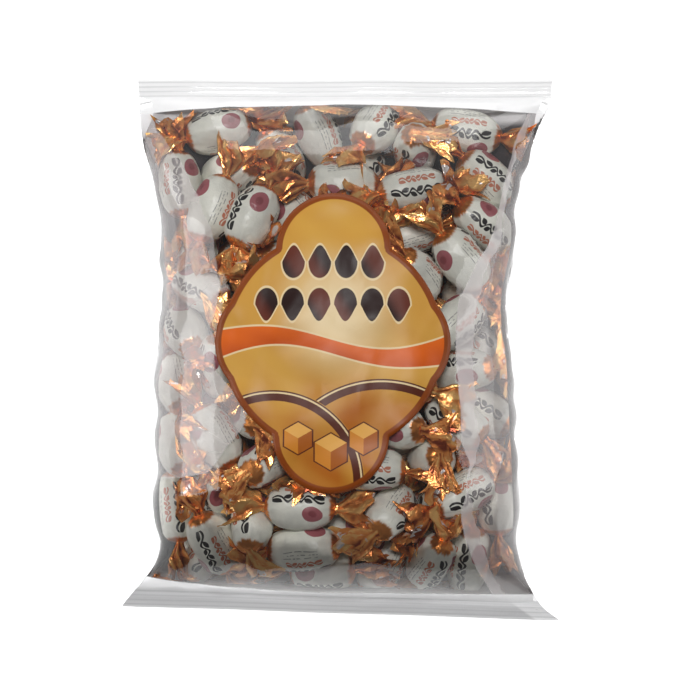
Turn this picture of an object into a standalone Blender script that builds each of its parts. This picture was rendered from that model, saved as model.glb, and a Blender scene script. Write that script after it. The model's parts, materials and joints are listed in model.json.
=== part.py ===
"""Clear pillow bag of twist-wrapped caramel candies, lying on its back with the printed label up.

Metres, +Z up. The bag's length runs along Y with the top seal at +Y, its width along X.
The origin is the middle of the bag on the surface that it lies on.
Two solids: the filled bag, whose film is drawn tight over the candies inside, and the label on it.
"""

import math

import bmesh
import bpy
import numpy as np
from mathutils import Vector
from mathutils.bvhtree import BVHTree

# The bag, measured flat along its length and across its seals.
BAG_LENGTH = 0.2354
BAG_THICKNESS = 0.060
SEAL_DEPTH = 0.0085
SEAL_THICKNESS = 0.0008
SEAL_REST_HEIGHT = 0.0135
SIDE_REST_HEIGHT = 0.0255
FULLEST_AT = 0.150
BACK_PRESS = 0.0030
BOTTOM_SLANT = 0.020

# How the fill falls away towards each seal, and how square the filled cross-section is.
TOP_TAPER = 2.6
BOTTOM_TAPER = 4.0
TAPER_BULGE = 0.56
SIDE_SQUARENESS = 0.28
BACK_FILL = 1.25

# The bag's left and right edge seen from the front, at distances down from the top edge.
SIDE_OUTLINE = (
    (0.0000, -0.0915, 0.0910),
    (0.0120, -0.0900, 0.0899),
    (0.0320, -0.0883, 0.0822),
    (0.0500, -0.0821, 0.0763),
    (0.0740, -0.0795, 0.0757),
    (0.1000, -0.0776, 0.0715),
    (0.1250, -0.0799, 0.0740),
    (0.1550, -0.0797, 0.0757),
    (0.1850, -0.0798, 0.0774),
    (0.2060, -0.0791, 0.0784),
    (0.2205, -0.0850, 0.0833),
    (0.2293, -0.0912, 0.0880),
    (0.2354, -0.0958, 0.0958),
)

# Crimps pressed across both seals, and the way the free fins wave and droop.
CRIMP_PITCH = 0.0021
CRIMP_HEIGHT = 0.00045
FIN_WAVE = 0.0012
FIN_WAVE_LENGTH = 0.085
TOP_FIN_DROOP = 0.0018
BOTTOM_FIN_DROOP = 0.0048

# Gathers that run from each seal into the filled part.
GATHER_HEIGHT = 0.0011
GATHER_COUNT = 7
GATHER_REACH = 0.026

# One candy: a rounded body between two twisted ends.
BODY_LENGTH = 0.030
BODY_RADIUS = 0.0098
TWIST_REACH = 0.0240
TWIST_RADIUS = 0.0046
CANDY_COUNT = 102
CANDY_SEED = 6
START_EVENNESS = 0.55

# The packing: its steps, the size that the candies start at, and how far they push each other.
PACK_STEPS = 260
START_SIZE = 0.6
PUSH_SHARE = 0.35
TWIST_STIFFNESS = 0.35
LONGEST_PUSH = 0.004
SEAL_CLEARANCE = 0.005

# How far the film draws in between the candies, and how softly it passes over them.
FILM_SAG = 0.0027
LABEL_SAG = 0.0014
SIDE_TAUTNESS = 0.40
FLOOR_REACH = 0.0050
FILM_CLEARANCE = 0.0005
FILM_SOFTNESS = 0.0011

# Mesh density of the bag.
POINTS_AROUND = 76
RINGS_IN_BODY = 52

# The label: a disc with two large lobes at its top and foot, and two flatter ones at its sides.
LABEL_CENTRE = (-0.0018, 0.0004)
LABEL_DISC = 0.0460
LABEL_END_LOBE = (0.0388, 0.0240)
LABEL_SIDE_LOBE = (0.0245, 0.0246)
LABEL_GAP = 0.0014
LABEL_THICKNESS = 0.0005
LABEL_POINTS_AROUND = 64
LABEL_RINGS = 12

FILM_COLOUR = (0.62, 0.50, 0.40, 1.0)
LABEL_COLOUR = (0.72, 0.40, 0.09, 1.0)


def clear_scene():
    for obj in list(bpy.data.objects):
        bpy.data.objects.remove(obj, do_unlink=True)


def new_material(name, colour, roughness):
    material = bpy.data.materials.new(name)
    material.use_nodes = True
    shader = material.node_tree.nodes["Principled BSDF"]
    shader.inputs["Base Color"].default_value = colour
    shader.inputs["Roughness"].default_value = roughness
    shader.inputs["Metallic"].default_value = 0.0
    return material


def smooth_curve(points, at):
    """The value at each place of a smooth curve through a few (place, value) points."""
    places, values = np.array(points).T
    slopes = np.gradient(values, places)
    at = np.clip(at, places[0], places[-1])
    span = np.clip(np.searchsorted(places, at, side="right") - 1, 0, len(places) - 2)
    width = places[span + 1] - places[span]
    t = (at - places[span]) / width
    rise = values[span] * (1 + 2 * t) * (1 - t) ** 2 + values[span + 1] * t**2 * (3 - 2 * t)
    bend = slopes[span] * t * (1 - t) ** 2 - slopes[span + 1] * t**2 * (1 - t)
    return rise + bend * width


def fullness(down):
    """Share of the full thickness at a distance down from the top edge: 0 in both seals.

    The bag tapers towards its top seal, and the candies have settled against the bottom one.
    """
    above = (FULLEST_AT - down) / (FULLEST_AT - SEAL_DEPTH)
    below = (down - FULLEST_AT) / (BAG_LENGTH - SEAL_DEPTH - FULLEST_AT)
    to_top = np.clip(above, 0, 1) ** TOP_TAPER
    to_bottom = np.clip(below, 0, 1) ** BOTTOM_TAPER
    reach = np.where(down < FULLEST_AT, to_top, to_bottom)
    return (1 - reach) ** TAPER_BULGE


def side_edges(down):
    """The bag's left and right edge at distances down from the top edge."""
    outline = np.array(SIDE_OUTLINE)
    return smooth_curve(outline[:, (0, 1)], down), smooth_curve(outline[:, (0, 2)], down)


def fin_height(across, down):
    """Height of the flat seals: they droop towards their free edge and wave a little."""
    past_top = np.clip((SEAL_DEPTH - down) / SEAL_DEPTH, 0, 1)
    past_bottom = np.clip((down - BAG_LENGTH + SEAL_DEPTH) / SEAL_DEPTH, 0, 1)
    wave = np.sin(across / FIN_WAVE_LENGTH * math.tau + np.where(down < FULLEST_AT, 0.6, 2.1))
    return FIN_WAVE * wave - TOP_FIN_DROOP * past_top**2 - BOTTOM_FIN_DROOP * past_bottom**2


def pillow_points(angle, down):
    """Points of the smooth bag, before the candies shape its film.

    angle goes round the bag from its right edge over the front, down is the distance from the top.
    """
    full = fullness(down)
    left, right = side_edges(down)
    side = SEAL_REST_HEIGHT + (SIDE_REST_HEIGHT - SEAL_REST_HEIGHT) * full
    front = (BAG_THICKNESS - SEAL_REST_HEIGHT) * full - (side - SEAL_REST_HEIGHT)
    back = (side + BACK_PRESS) * np.clip(full * BACK_FILL, 0, 1)
    rounding = 1 - SIDE_SQUARENESS * full
    lens = 2 - full
    turned = np.sign(np.cos(angle)) * np.abs(np.cos(angle)) ** rounding
    across = (left + right) / 2 + (right - left) / 2 * turned
    rise = np.where(np.sin(angle) > 0, front, back) + SEAL_THICKNESS / 2
    height = side + rise * np.sign(np.sin(angle)) * np.abs(np.sin(angle)) ** lens
    height += fin_height(across, down) * (1 - full)
    past_middle = np.clip((down - FULLEST_AT) / (BAG_LENGTH - FULLEST_AT), 0, 1)
    lengthwise = BAG_LENGTH / 2 - down + BOTTOM_SLANT * (right - across) * past_middle**2
    return np.stack([across, lengthwise, np.maximum(height, 0)], axis=-1)


def ring_places():
    """Distances from the top edge of the rings: two to each crimp, then evenly along the body."""
    steps = int(round(SEAL_DEPTH / (CRIMP_PITCH / 2)))
    seal = np.linspace(0, SEAL_DEPTH, steps + 1)
    ease = np.linspace(0, math.pi, RINGS_IN_BODY + 1)[1:-1]
    even = ease / math.pi
    share = 0.55 * even + 0.45 * (1 - np.cos(ease)) / 2
    body = SEAL_DEPTH + (BAG_LENGTH - 2 * SEAL_DEPTH) * share
    return np.concatenate([seal, body, BAG_LENGTH - seal[::-1]])


def tube_mesh(rings):
    """A closed tube from rows of points, as a cylinder whose vertices are moved to them."""
    count, around = rings.shape[:2]
    mesh = bmesh.new()
    bmesh.ops.create_cone(
        mesh, cap_ends=True, segments=around, radius1=1, radius2=1, depth=count - 1
    )
    lengthwise = [e for e in mesh.edges if abs(e.verts[0].co.z - e.verts[1].co.z) > 0.5]
    bmesh.ops.subdivide_edges(mesh, edges=lengthwise, cuts=count - 2)
    for vert in mesh.verts:
        row = int(round((count - 1) / 2 - vert.co.z))
        column = int(round(math.atan2(vert.co.y, vert.co.x) / math.tau * around)) % around
        vert.co = Vector(rings[row, column])
    bmesh.ops.recalc_face_normals(mesh, faces=mesh.faces)
    if mesh.calc_volume(signed=True) < 0:
        bmesh.ops.reverse_faces(mesh, faces=mesh.faces)
    return mesh


def tube_angles():
    return np.arange(POINTS_AROUND) / POINTS_AROUND * math.tau


def wall_of(rings):
    """The smooth bag as a search tree of triangles that face outwards."""
    count, around = rings.shape[:2]
    row, column = np.meshgrid(np.arange(count - 1), np.arange(around), indexing="ij")
    first = row * around + column
    second = row * around + (column + 1) % around
    one = np.stack([first, second, second + around], axis=-1).reshape(-1, 3)
    other = np.stack([first, second + around, first + around], axis=-1).reshape(-1, 3)
    triangles = np.concatenate([one, other])
    return BVHTree.FromPolygons(rings.reshape(-1, 3).tolist(), triangles.tolist(), all_triangles=True)


def loose_candies(rng):
    """Where each candy starts: jittered rows in layers, each candy turned its own way.

    Returns points of shape (candies, 5, 3): twisted end, three places in the body, twisted end.
    """
    down = rng.uniform(SEAL_DEPTH + 0.012, BAG_LENGTH - SEAL_DEPTH - 0.008, CANDY_COUNT * 3)
    kept = down[rng.uniform(0, 1, len(down)) < fullness(down) ** START_EVENNESS][:CANDY_COUNT]
    turn = rng.uniform(0, math.pi, CANDY_COUNT)
    tilt = rng.normal(0, 0.22, CANDY_COUNT)
    left, right = side_edges(kept)
    across = (left + right) / 2 + (right - left) / 2 * rng.uniform(-1, 1, CANDY_COUNT)
    layer = (np.arange(CANDY_COUNT) % 3 + 0.5) / 3
    height = layer * BAG_THICKNESS * fullness(kept)
    middle = np.stack([across, BAG_LENGTH / 2 - kept, height], axis=-1)
    along = np.stack(
        [np.cos(turn) * np.cos(tilt), np.sin(turn) * np.cos(tilt), np.sin(tilt)], axis=-1
    )
    shoulder = BODY_LENGTH / 2 - BODY_RADIUS
    offsets = np.array([-TWIST_REACH, -shoulder, 0, shoulder, TWIST_REACH])
    return middle[:, None, :] + along[:, None, :] * offsets[None, :, None]


def keep_shape(points):
    """Straightens each body and pulls its two twisted ends back to their reach."""
    shoulder = BODY_LENGTH / 2 - BODY_RADIUS
    middle = points[:, 1:4].mean(axis=1)
    along = points[:, 3] - points[:, 1]
    along /= np.linalg.norm(along, axis=1, keepdims=True)
    for place, side in ((0, -1), (4, 1)):
        neck = middle + along * shoulder * side
        away = points[:, place] - neck + along * side * 0.006
        away /= np.linalg.norm(away, axis=1, keepdims=True)
        points[:, place] = neck + away * (TWIST_REACH - shoulder)
    for place, side in ((1, -1), (2, 0), (3, 1)):
        points[:, place] = middle + along * shoulder * side


def settle_candies(wall):
    """Packs the candies into the bag: they push each other apart and stay inside its wall.

    Each step is rounded to a thousandth of a millimetre, so the packing comes out the same anywhere.
    """
    points = loose_candies(np.random.default_rng(CANDY_SEED))
    radii = np.tile([TWIST_RADIUS, BODY_RADIUS, BODY_RADIUS, BODY_RADIUS, TWIST_RADIUS], CANDY_COUNT)
    owner = np.repeat(np.arange(CANDY_COUNT), 5)
    stiff = np.tile([TWIST_STIFFNESS, 1.0, 1.0, 1.0, TWIST_STIFFNESS], CANDY_COUNT)
    apart = owner[:, None] != owner[None, :]
    ends = BAG_LENGTH / 2 - SEAL_DEPTH - SEAL_CLEARANCE
    reach = radii[:, None] + radii[None, :]
    give = np.minimum(stiff[:, None], stiff[None, :]) * PUSH_SHARE * apart
    for step in range(PACK_STEPS):
        grown = START_SIZE + (1 - START_SIZE) * min(1.0, step / (0.7 * PACK_STEPS))
        flat = points.reshape(-1, 3)
        gap = flat[:, None, :] - flat[None, :, :]
        distance = np.sqrt((gap**2).sum(axis=-1)) + 1e-9
        overlap = np.clip(reach * grown - distance, 0, None) * give
        push = (gap * (overlap / distance)[..., None]).sum(axis=1)
        length = np.linalg.norm(push, axis=1, keepdims=True)
        flat = flat + push * np.minimum(1, LONGEST_PUSH / np.maximum(length, 1e-9))
        flat[:, 1] = np.clip(flat[:, 1], -ends, ends)
        for index, point in enumerate(flat):
            nearest, normal, _, _ = wall.find_nearest(Vector(point))
            inside = (Vector(point) - nearest).dot(normal) + radii[index] * grown
            if inside > 0:
                flat[index] = np.array(Vector(point) - normal * inside)
        flat[:, 2] = np.maximum(flat[:, 2], radii * grown)
        points = flat.reshape(-1, 5, 3)
        keep_shape(points)
        points = np.round(points, 6)
    return points


def film_sag(rings, angle):
    """How far the film may draw in: less under the label and along the taut sides."""
    across = (rings[..., 0] - LABEL_CENTRE[0]) / (sum(LABEL_SIDE_LOBE) + 0.010)
    lengthwise = (rings[..., 1] - LABEL_CENTRE[1]) / (sum(LABEL_END_LOBE) + 0.008)
    under_label = np.clip(1.6 - 1.6 * (across**2 + lengthwise**2), 0, 1) * (np.sin(angle) > 0)
    sag = FILM_SAG - (FILM_SAG - LABEL_SAG) * under_label
    return sag * (1 - SIDE_TAUTNESS * np.abs(np.cos(angle)) ** 4)


def draw_film(rings, angle, candies):
    """Distance that the film draws in between the candies, until it meets them or has sagged."""
    bodies = candies[:, 1:4].reshape(-1, 3)
    twists = candies[:, (0, 4)].reshape(-1, 3)
    to_bodies = np.linalg.norm(rings[..., None, :] - bodies, axis=-1) - BODY_RADIUS
    to_twists = np.linalg.norm(rings[..., None, :] - twists, axis=-1) - TWIST_RADIUS
    free = np.concatenate([to_bodies, to_twists], axis=-1) - FILM_CLEARANCE
    sag = film_sag(rings, angle)
    ways = np.clip(np.concatenate([free, sag[..., None]], axis=-1), -0.004, None)
    least = -FILM_SOFTNESS * np.log(np.exp(-ways / FILM_SOFTNESS).sum(axis=-1))
    on_floor = np.clip(rings[..., 2] / FLOOR_REACH, 0, 1)
    return np.clip(least, -0.001, sag) * np.where(np.sin(angle) < 0, on_floor, 1)


def gathers(angle, down):
    """Folds that fan out from the seals, where the flat film opens round the candies."""
    from_seal = np.minimum(down, BAG_LENGTH - down) - SEAL_DEPTH
    fade = np.clip(from_seal / 0.006, 0, 1) * np.exp(-np.clip(from_seal, 0, None) / GATHER_REACH)
    side = np.where(down < FULLEST_AT, 0.4, 1.7)
    folds = np.sin(np.cos(angle) * GATHER_COUNT * math.pi + side)
    return GATHER_HEIGHT * fade * folds * np.abs(np.sin(angle))


def outward_normals(rings, angle):
    """Unit normals of the rows of points, pointing out of the bag."""
    lengthwise = np.gradient(rings, axis=0)
    around = np.roll(rings, -1, axis=1) - np.roll(rings, 1, axis=1)
    normals = np.cross(lengthwise, around)
    normals /= np.maximum(np.linalg.norm(normals, axis=-1, keepdims=True), 1e-9)
    return normals * np.sign((normals[..., 2] * np.sin(angle)).sum())


def crimps(down):
    """Height of the crimps at each ring: every second ring of both seals is raised."""
    steps = int(round(SEAL_DEPTH / (CRIMP_PITCH / 2)))
    raised = np.zeros_like(down)
    raised[1:steps:2] = CRIMP_HEIGHT
    raised[-steps:-1:2] = CRIMP_HEIGHT
    return raised[:, None]


def build_bag():
    """The filled bag: smooth pillow, then sagged film, gathers and crimped seals."""
    down = ring_places()
    angle, along = np.meshgrid(tube_angles(), down)
    pillow = pillow_points(angle, along)
    candies = settle_candies(wall_of(pillow))

    normals = outward_normals(pillow, angle)
    open_film = np.clip((np.minimum(along, BAG_LENGTH - along) - SEAL_DEPTH) / 0.010, 0, 1)
    outward = gathers(angle, along) - draw_film(pillow, angle, candies) * open_film
    rings = pillow + normals * outward[..., None]
    rings[..., 2] = np.maximum(rings[..., 2] + crimps(down), 0)

    mesh = tube_mesh(rings)
    data = bpy.data.meshes.new("bag")
    mesh.to_mesh(data)
    mesh.free()
    data.shade_smooth()
    bag = bpy.data.objects.new("bag", data)
    bag.data.materials.append(new_material("clear_film", FILM_COLOUR, 0.12))
    return bag


def label_reach(angle):
    """Distance from the label's centre to its edge in a direction."""
    reach = LABEL_DISC
    cosine, sine = abs(math.cos(angle)), abs(math.sin(angle))
    for (offset, radius), ahead, beside in (
        (LABEL_END_LOBE, sine, cosine),
        (LABEL_SIDE_LOBE, cosine, sine),
    ):
        if offset * beside < radius:
            lobe = offset * ahead + math.sqrt(radius**2 - (offset * beside) ** 2)
            reach = max(reach, lobe)
    return reach


def build_label(bag):
    """The label: a flat disc cut to its outline, laid on the film and given its thickness."""
    mesh = bmesh.new()
    bmesh.ops.create_circle(mesh, cap_ends=True, cap_tris=True, segments=LABEL_POINTS_AROUND, radius=1)
    spokes = [e for e in mesh.edges if any(v.co.length < 0.5 for v in e.verts)]
    bmesh.ops.subdivide_edges(mesh, edges=spokes, cuts=LABEL_RINGS - 1)
    for vert in mesh.verts:
        share = vert.co.length
        angle = math.atan2(vert.co.y, vert.co.x)
        reach = share * label_reach(angle)
        vert.co.x = LABEL_CENTRE[0] + reach * math.cos(angle)
        vert.co.y = LABEL_CENTRE[1] + reach * math.sin(angle)
        vert.co.z = BAG_THICKNESS * 1.5
    data = bpy.data.meshes.new("label")
    mesh.to_mesh(data)
    mesh.free()
    data.shade_smooth()
    label = bpy.data.objects.new("label", data)

    wrap = label.modifiers.new("Laid on the film", "SHRINKWRAP")
    wrap.target = bag
    wrap.wrap_method = "PROJECT"
    wrap.use_project_z = True
    wrap.use_negative_direction = True
    wrap.use_positive_direction = False
    wrap.offset = LABEL_GAP
    thick = label.modifiers.new("Thickness", "SOLIDIFY")
    thick.thickness = LABEL_THICKNESS
    thick.offset = 1
    label.data.materials.append(new_material("label_print", LABEL_COLOUR, 0.25))
    return label


def main():
    clear_scene()
    pack = bpy.data.collections.new("candy_bag")
    bpy.context.scene.collection.children.link(pack)
    bag = build_bag()
    pack.objects.link(bag)
    pack.objects.link(build_label(bag))


main()
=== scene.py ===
# %% [markdown]
# # A clear bag of twist-wrapped caramels
#
# The real object is a pillow bag. A tube of clear film is sealed flat at both ends, filled with
# candies in cream paper with copper foil twists, and carries one printed label on its front.
# It lies on its back and the camera looks down on it.
#
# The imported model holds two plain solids, the bag and the label. This lesson replaces them
# with the film, the candies behind it and the printed skin, all in the same place and size.

import json
import math

import bpy
import numpy as np
from mathutils import Matrix, Vector, noise
from mathutils.bvhtree import BVHTree
from mathutils.kdtree import KDTree

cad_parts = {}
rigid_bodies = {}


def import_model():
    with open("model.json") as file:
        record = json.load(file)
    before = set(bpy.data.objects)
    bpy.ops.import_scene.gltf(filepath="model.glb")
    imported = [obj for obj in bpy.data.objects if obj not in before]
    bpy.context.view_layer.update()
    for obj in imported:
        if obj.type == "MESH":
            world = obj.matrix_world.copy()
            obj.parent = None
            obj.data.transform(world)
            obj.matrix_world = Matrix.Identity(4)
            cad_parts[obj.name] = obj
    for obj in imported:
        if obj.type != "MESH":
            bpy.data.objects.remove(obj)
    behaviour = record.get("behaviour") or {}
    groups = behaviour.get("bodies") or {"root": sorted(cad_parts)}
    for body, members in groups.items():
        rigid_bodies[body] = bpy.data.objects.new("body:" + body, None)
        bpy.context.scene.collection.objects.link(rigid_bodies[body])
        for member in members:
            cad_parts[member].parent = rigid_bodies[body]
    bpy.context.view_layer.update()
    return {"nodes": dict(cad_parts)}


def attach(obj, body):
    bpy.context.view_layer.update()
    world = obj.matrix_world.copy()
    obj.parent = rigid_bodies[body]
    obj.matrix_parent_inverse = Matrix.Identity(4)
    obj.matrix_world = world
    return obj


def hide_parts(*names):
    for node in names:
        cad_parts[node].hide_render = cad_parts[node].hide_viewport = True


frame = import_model()
MM = 0.001
print("CAD nodes:", sorted(frame["nodes"]))

# %% [markdown]
# ## The camera
#
# The photograph looks almost straight down, a few degrees from the bag's right side and from its
# bottom seal. A long lens at nearly a metre keeps the perspective as flat as it is there.
# Up in the picture is the bag's length. A camera that looks down has no up of its own, so its
# three axes are worked out: backwards, then right, square to the bag's length, then up.

# %% Camera
CAMERA_TARGET = Vector((0.0039, -0.0014, 0.020))
CAMERA_DISTANCE = 0.90
FROM_RIGHT = math.radians(2.7)
FROM_BOTTOM = math.radians(2.3)
ROLL = math.radians(0.5)
FRAME_WIDTH = 0.3026
SENSOR = 36.0

away = Vector((math.sin(FROM_RIGHT), -math.sin(FROM_BOTTOM), 1.0)).normalized()
bpy.ops.object.camera_add(location=CAMERA_TARGET + away * CAMERA_DISTANCE)
camera = bpy.context.active_object
camera.name = "view_camera"
right = Vector((0, 1, 0)).cross(away).normalized()
axes = Matrix((right, away.cross(right), away)).transposed()
camera.rotation_euler = (axes @ Matrix.Rotation(ROLL, 3, "Z")).to_euler()
camera.data.sensor_width = SENSOR
camera.data.lens = SENSOR * CAMERA_DISTANCE / FRAME_WIDTH
bpy.context.scene.camera = camera
print("camera lens", round(camera.data.lens, 1), "mm")

# %% [markdown]
# ## Where the candies lie
#
# Loose candies settle against each other and against the film. A rigid body simulation would
# give such a heap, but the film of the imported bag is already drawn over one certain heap. So the
# same steps that shaped the solid are repeated here: the smooth pillow, the candies as strings
# of five balls pushing each other apart inside it, and a fixed seed for where they start.

# %% The pillow's measures
BAG_LENGTH = 0.2354
BAG_THICKNESS = 0.060
SEAL_DEPTH = 0.0085
SEAL_THICKNESS = 0.0008
SEAL_REST_HEIGHT = 0.0135
SIDE_REST_HEIGHT = 0.0255
FULLEST_AT = 0.150
BACK_PRESS = 0.0030
BOTTOM_SLANT = 0.020
TOP_TAPER = 2.6
BOTTOM_TAPER = 4.0
TAPER_BULGE = 0.56
SIDE_SQUARENESS = 0.28
BACK_FILL = 1.25
SIDE_OUTLINE = (
    (0.0000, -0.0915, 0.0910),
    (0.0120, -0.0900, 0.0899),
    (0.0320, -0.0883, 0.0822),
    (0.0500, -0.0821, 0.0763),
    (0.0740, -0.0795, 0.0757),
    (0.1000, -0.0776, 0.0715),
    (0.1250, -0.0799, 0.0740),
    (0.1550, -0.0797, 0.0757),
    (0.1850, -0.0798, 0.0774),
    (0.2060, -0.0791, 0.0784),
    (0.2205, -0.0850, 0.0833),
    (0.2293, -0.0912, 0.0880),
    (0.2354, -0.0958, 0.0958),
)
CRIMP_PITCH = 0.0021
FIN_WAVE = 0.0012
FIN_WAVE_LENGTH = 0.085
TOP_FIN_DROOP = 0.0018
BOTTOM_FIN_DROOP = 0.0048
POINTS_AROUND = 76
RINGS_IN_BODY = 52


# %% The smooth pillow
def smooth_curve(points, at):
    """The value at each place of a smooth curve through a few (place, value) points."""
    places, values = np.array(points).T
    slopes = np.gradient(values, places)
    at = np.clip(at, places[0], places[-1])
    span = np.clip(np.searchsorted(places, at, side="right") - 1, 0, len(places) - 2)
    width = places[span + 1] - places[span]
    t = (at - places[span]) / width
    rise = values[span] * (1 + 2 * t) * (1 - t) ** 2 + values[span + 1] * t**2 * (3 - 2 * t)
    bend = slopes[span] * t * (1 - t) ** 2 - slopes[span + 1] * t**2 * (1 - t)
    return rise + bend * width


def fullness(down):
    """Share of the full thickness at a distance down from the top edge: 0 in both seals."""
    above = (FULLEST_AT - down) / (FULLEST_AT - SEAL_DEPTH)
    below = (down - FULLEST_AT) / (BAG_LENGTH - SEAL_DEPTH - FULLEST_AT)
    to_top = np.clip(above, 0, 1) ** TOP_TAPER
    to_bottom = np.clip(below, 0, 1) ** BOTTOM_TAPER
    reach = np.where(down < FULLEST_AT, to_top, to_bottom)
    return (1 - reach) ** TAPER_BULGE


def side_edges(down):
    """The bag's left and right edge at distances down from the top edge."""
    outline = np.array(SIDE_OUTLINE)
    return smooth_curve(outline[:, (0, 1)], down), smooth_curve(outline[:, (0, 2)], down)


def fin_height(across, down):
    """Height of the flat seals: they droop towards their free edge and wave a little."""
    past_top = np.clip((SEAL_DEPTH - down) / SEAL_DEPTH, 0, 1)
    past_bottom = np.clip((down - BAG_LENGTH + SEAL_DEPTH) / SEAL_DEPTH, 0, 1)
    wave = np.sin(across / FIN_WAVE_LENGTH * math.tau + np.where(down < FULLEST_AT, 0.6, 2.1))
    return FIN_WAVE * wave - TOP_FIN_DROOP * past_top**2 - BOTTOM_FIN_DROOP * past_bottom**2


def pillow_points(angle, down):
    """Points of the smooth bag, before the candies shape its film."""
    full = fullness(down)
    left, right = side_edges(down)
    side = SEAL_REST_HEIGHT + (SIDE_REST_HEIGHT - SEAL_REST_HEIGHT) * full
    front = (BAG_THICKNESS - SEAL_REST_HEIGHT) * full - (side - SEAL_REST_HEIGHT)
    back = (side + BACK_PRESS) * np.clip(full * BACK_FILL, 0, 1)
    rounding = 1 - SIDE_SQUARENESS * full
    lens = 2 - full
    turned = np.sign(np.cos(angle)) * np.abs(np.cos(angle)) ** rounding
    across = (left + right) / 2 + (right - left) / 2 * turned
    rise = np.where(np.sin(angle) > 0, front, back) + SEAL_THICKNESS / 2
    height = side + rise * np.sign(np.sin(angle)) * np.abs(np.sin(angle)) ** lens
    height += fin_height(across, down) * (1 - full)
    past_middle = np.clip((down - FULLEST_AT) / (BAG_LENGTH - FULLEST_AT), 0, 1)
    lengthwise = BAG_LENGTH / 2 - down + BOTTOM_SLANT * (right - across) * past_middle**2
    return np.stack([across, lengthwise, np.maximum(height, 0)], axis=-1)


def ring_places():
    """Distances from the top edge of the rings: two to each crimp, then evenly along the body."""
    steps = int(round(SEAL_DEPTH / (CRIMP_PITCH / 2)))
    seal = np.linspace(0, SEAL_DEPTH, steps + 1)
    ease = np.linspace(0, math.pi, RINGS_IN_BODY + 1)[1:-1]
    even = ease / math.pi
    share = 0.55 * even + 0.45 * (1 - np.cos(ease)) / 2
    body = SEAL_DEPTH + (BAG_LENGTH - 2 * SEAL_DEPTH) * share
    return np.concatenate([seal, body, BAG_LENGTH - seal[::-1]])


def wall_of(rings):
    """The smooth bag as a search tree of triangles that face outwards."""
    count, around = rings.shape[:2]
    row, column = np.meshgrid(np.arange(count - 1), np.arange(around), indexing="ij")
    first = row * around + column
    second = row * around + (column + 1) % around
    one = np.stack([first, second, second + around], axis=-1).reshape(-1, 3)
    other = np.stack([first, second + around, first + around], axis=-1).reshape(-1, 3)
    triangles = np.concatenate([one, other])
    points = rings.reshape(-1, 3).tolist()
    return BVHTree.FromPolygons(points, triangles.tolist(), all_triangles=True)


angles, places = np.meshgrid(np.arange(POINTS_AROUND) / POINTS_AROUND * math.tau, ring_places())
pillow = pillow_points(angles, places)
wall = wall_of(pillow)
print("pillow of", angles.size, "points")

# %% The candies' measures
BODY_LENGTH = 0.030
BODY_RADIUS = 0.0098
TWIST_REACH = 0.0240
TWIST_RADIUS = 0.0046
CANDY_COUNT = 102
CANDY_SEED = 6
START_EVENNESS = 0.55
PACK_STEPS = 260
START_SIZE = 0.6
PUSH_SHARE = 0.35
TWIST_STIFFNESS = 0.35
LONGEST_PUSH = 0.004
SEAL_CLEARANCE = 0.005
SHOULDER = BODY_LENGTH / 2 - BODY_RADIUS
START_FROM_TOP = 0.012
START_FROM_BOTTOM = 0.008
START_TILT = 0.22
START_LAYERS = 3
FULL_SIZE_AFTER = 0.7
TWIST_STRAIGHTNESS = 0.006


# %% Where each candy starts
def loose_candies(rng):
    """Where each candy starts, as points (candies, 5, 3): twist, three in the body, twist."""
    first, last = SEAL_DEPTH + START_FROM_TOP, BAG_LENGTH - SEAL_DEPTH - START_FROM_BOTTOM
    down = rng.uniform(first, last, CANDY_COUNT * 3)
    kept = down[rng.uniform(0, 1, len(down)) < fullness(down) ** START_EVENNESS][:CANDY_COUNT]
    turn = rng.uniform(0, math.pi, CANDY_COUNT)
    tilt = rng.normal(0, START_TILT, CANDY_COUNT)
    left, right = side_edges(kept)
    across = (left + right) / 2 + (right - left) / 2 * rng.uniform(-1, 1, CANDY_COUNT)
    layer = (np.arange(CANDY_COUNT) % START_LAYERS + 0.5) / START_LAYERS
    height = layer * BAG_THICKNESS * fullness(kept)
    middle = np.stack([across, BAG_LENGTH / 2 - kept, height], axis=-1)
    along = np.stack(
        [np.cos(turn) * np.cos(tilt), np.sin(turn) * np.cos(tilt), np.sin(tilt)], axis=-1
    )
    offsets = np.array([-TWIST_REACH, -SHOULDER, 0, SHOULDER, TWIST_REACH])
    return middle[:, None, :] + along[:, None, :] * offsets[None, :, None]


# %% Settle them
def keep_shape(points):
    """Straightens each body and pulls its two twisted ends back to their reach."""
    middle = points[:, 1:4].mean(axis=1)
    along = points[:, 3] - points[:, 1]
    along /= np.linalg.norm(along, axis=1, keepdims=True)
    for place, side in ((0, -1), (4, 1)):
        neck = middle + along * SHOULDER * side
        away = points[:, place] - neck + along * side * TWIST_STRAIGHTNESS
        away /= np.linalg.norm(away, axis=1, keepdims=True)
        points[:, place] = neck + away * (TWIST_REACH - SHOULDER)
    for place, side in ((1, -1), (2, 0), (3, 1)):
        points[:, place] = middle + along * SHOULDER * side


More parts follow.
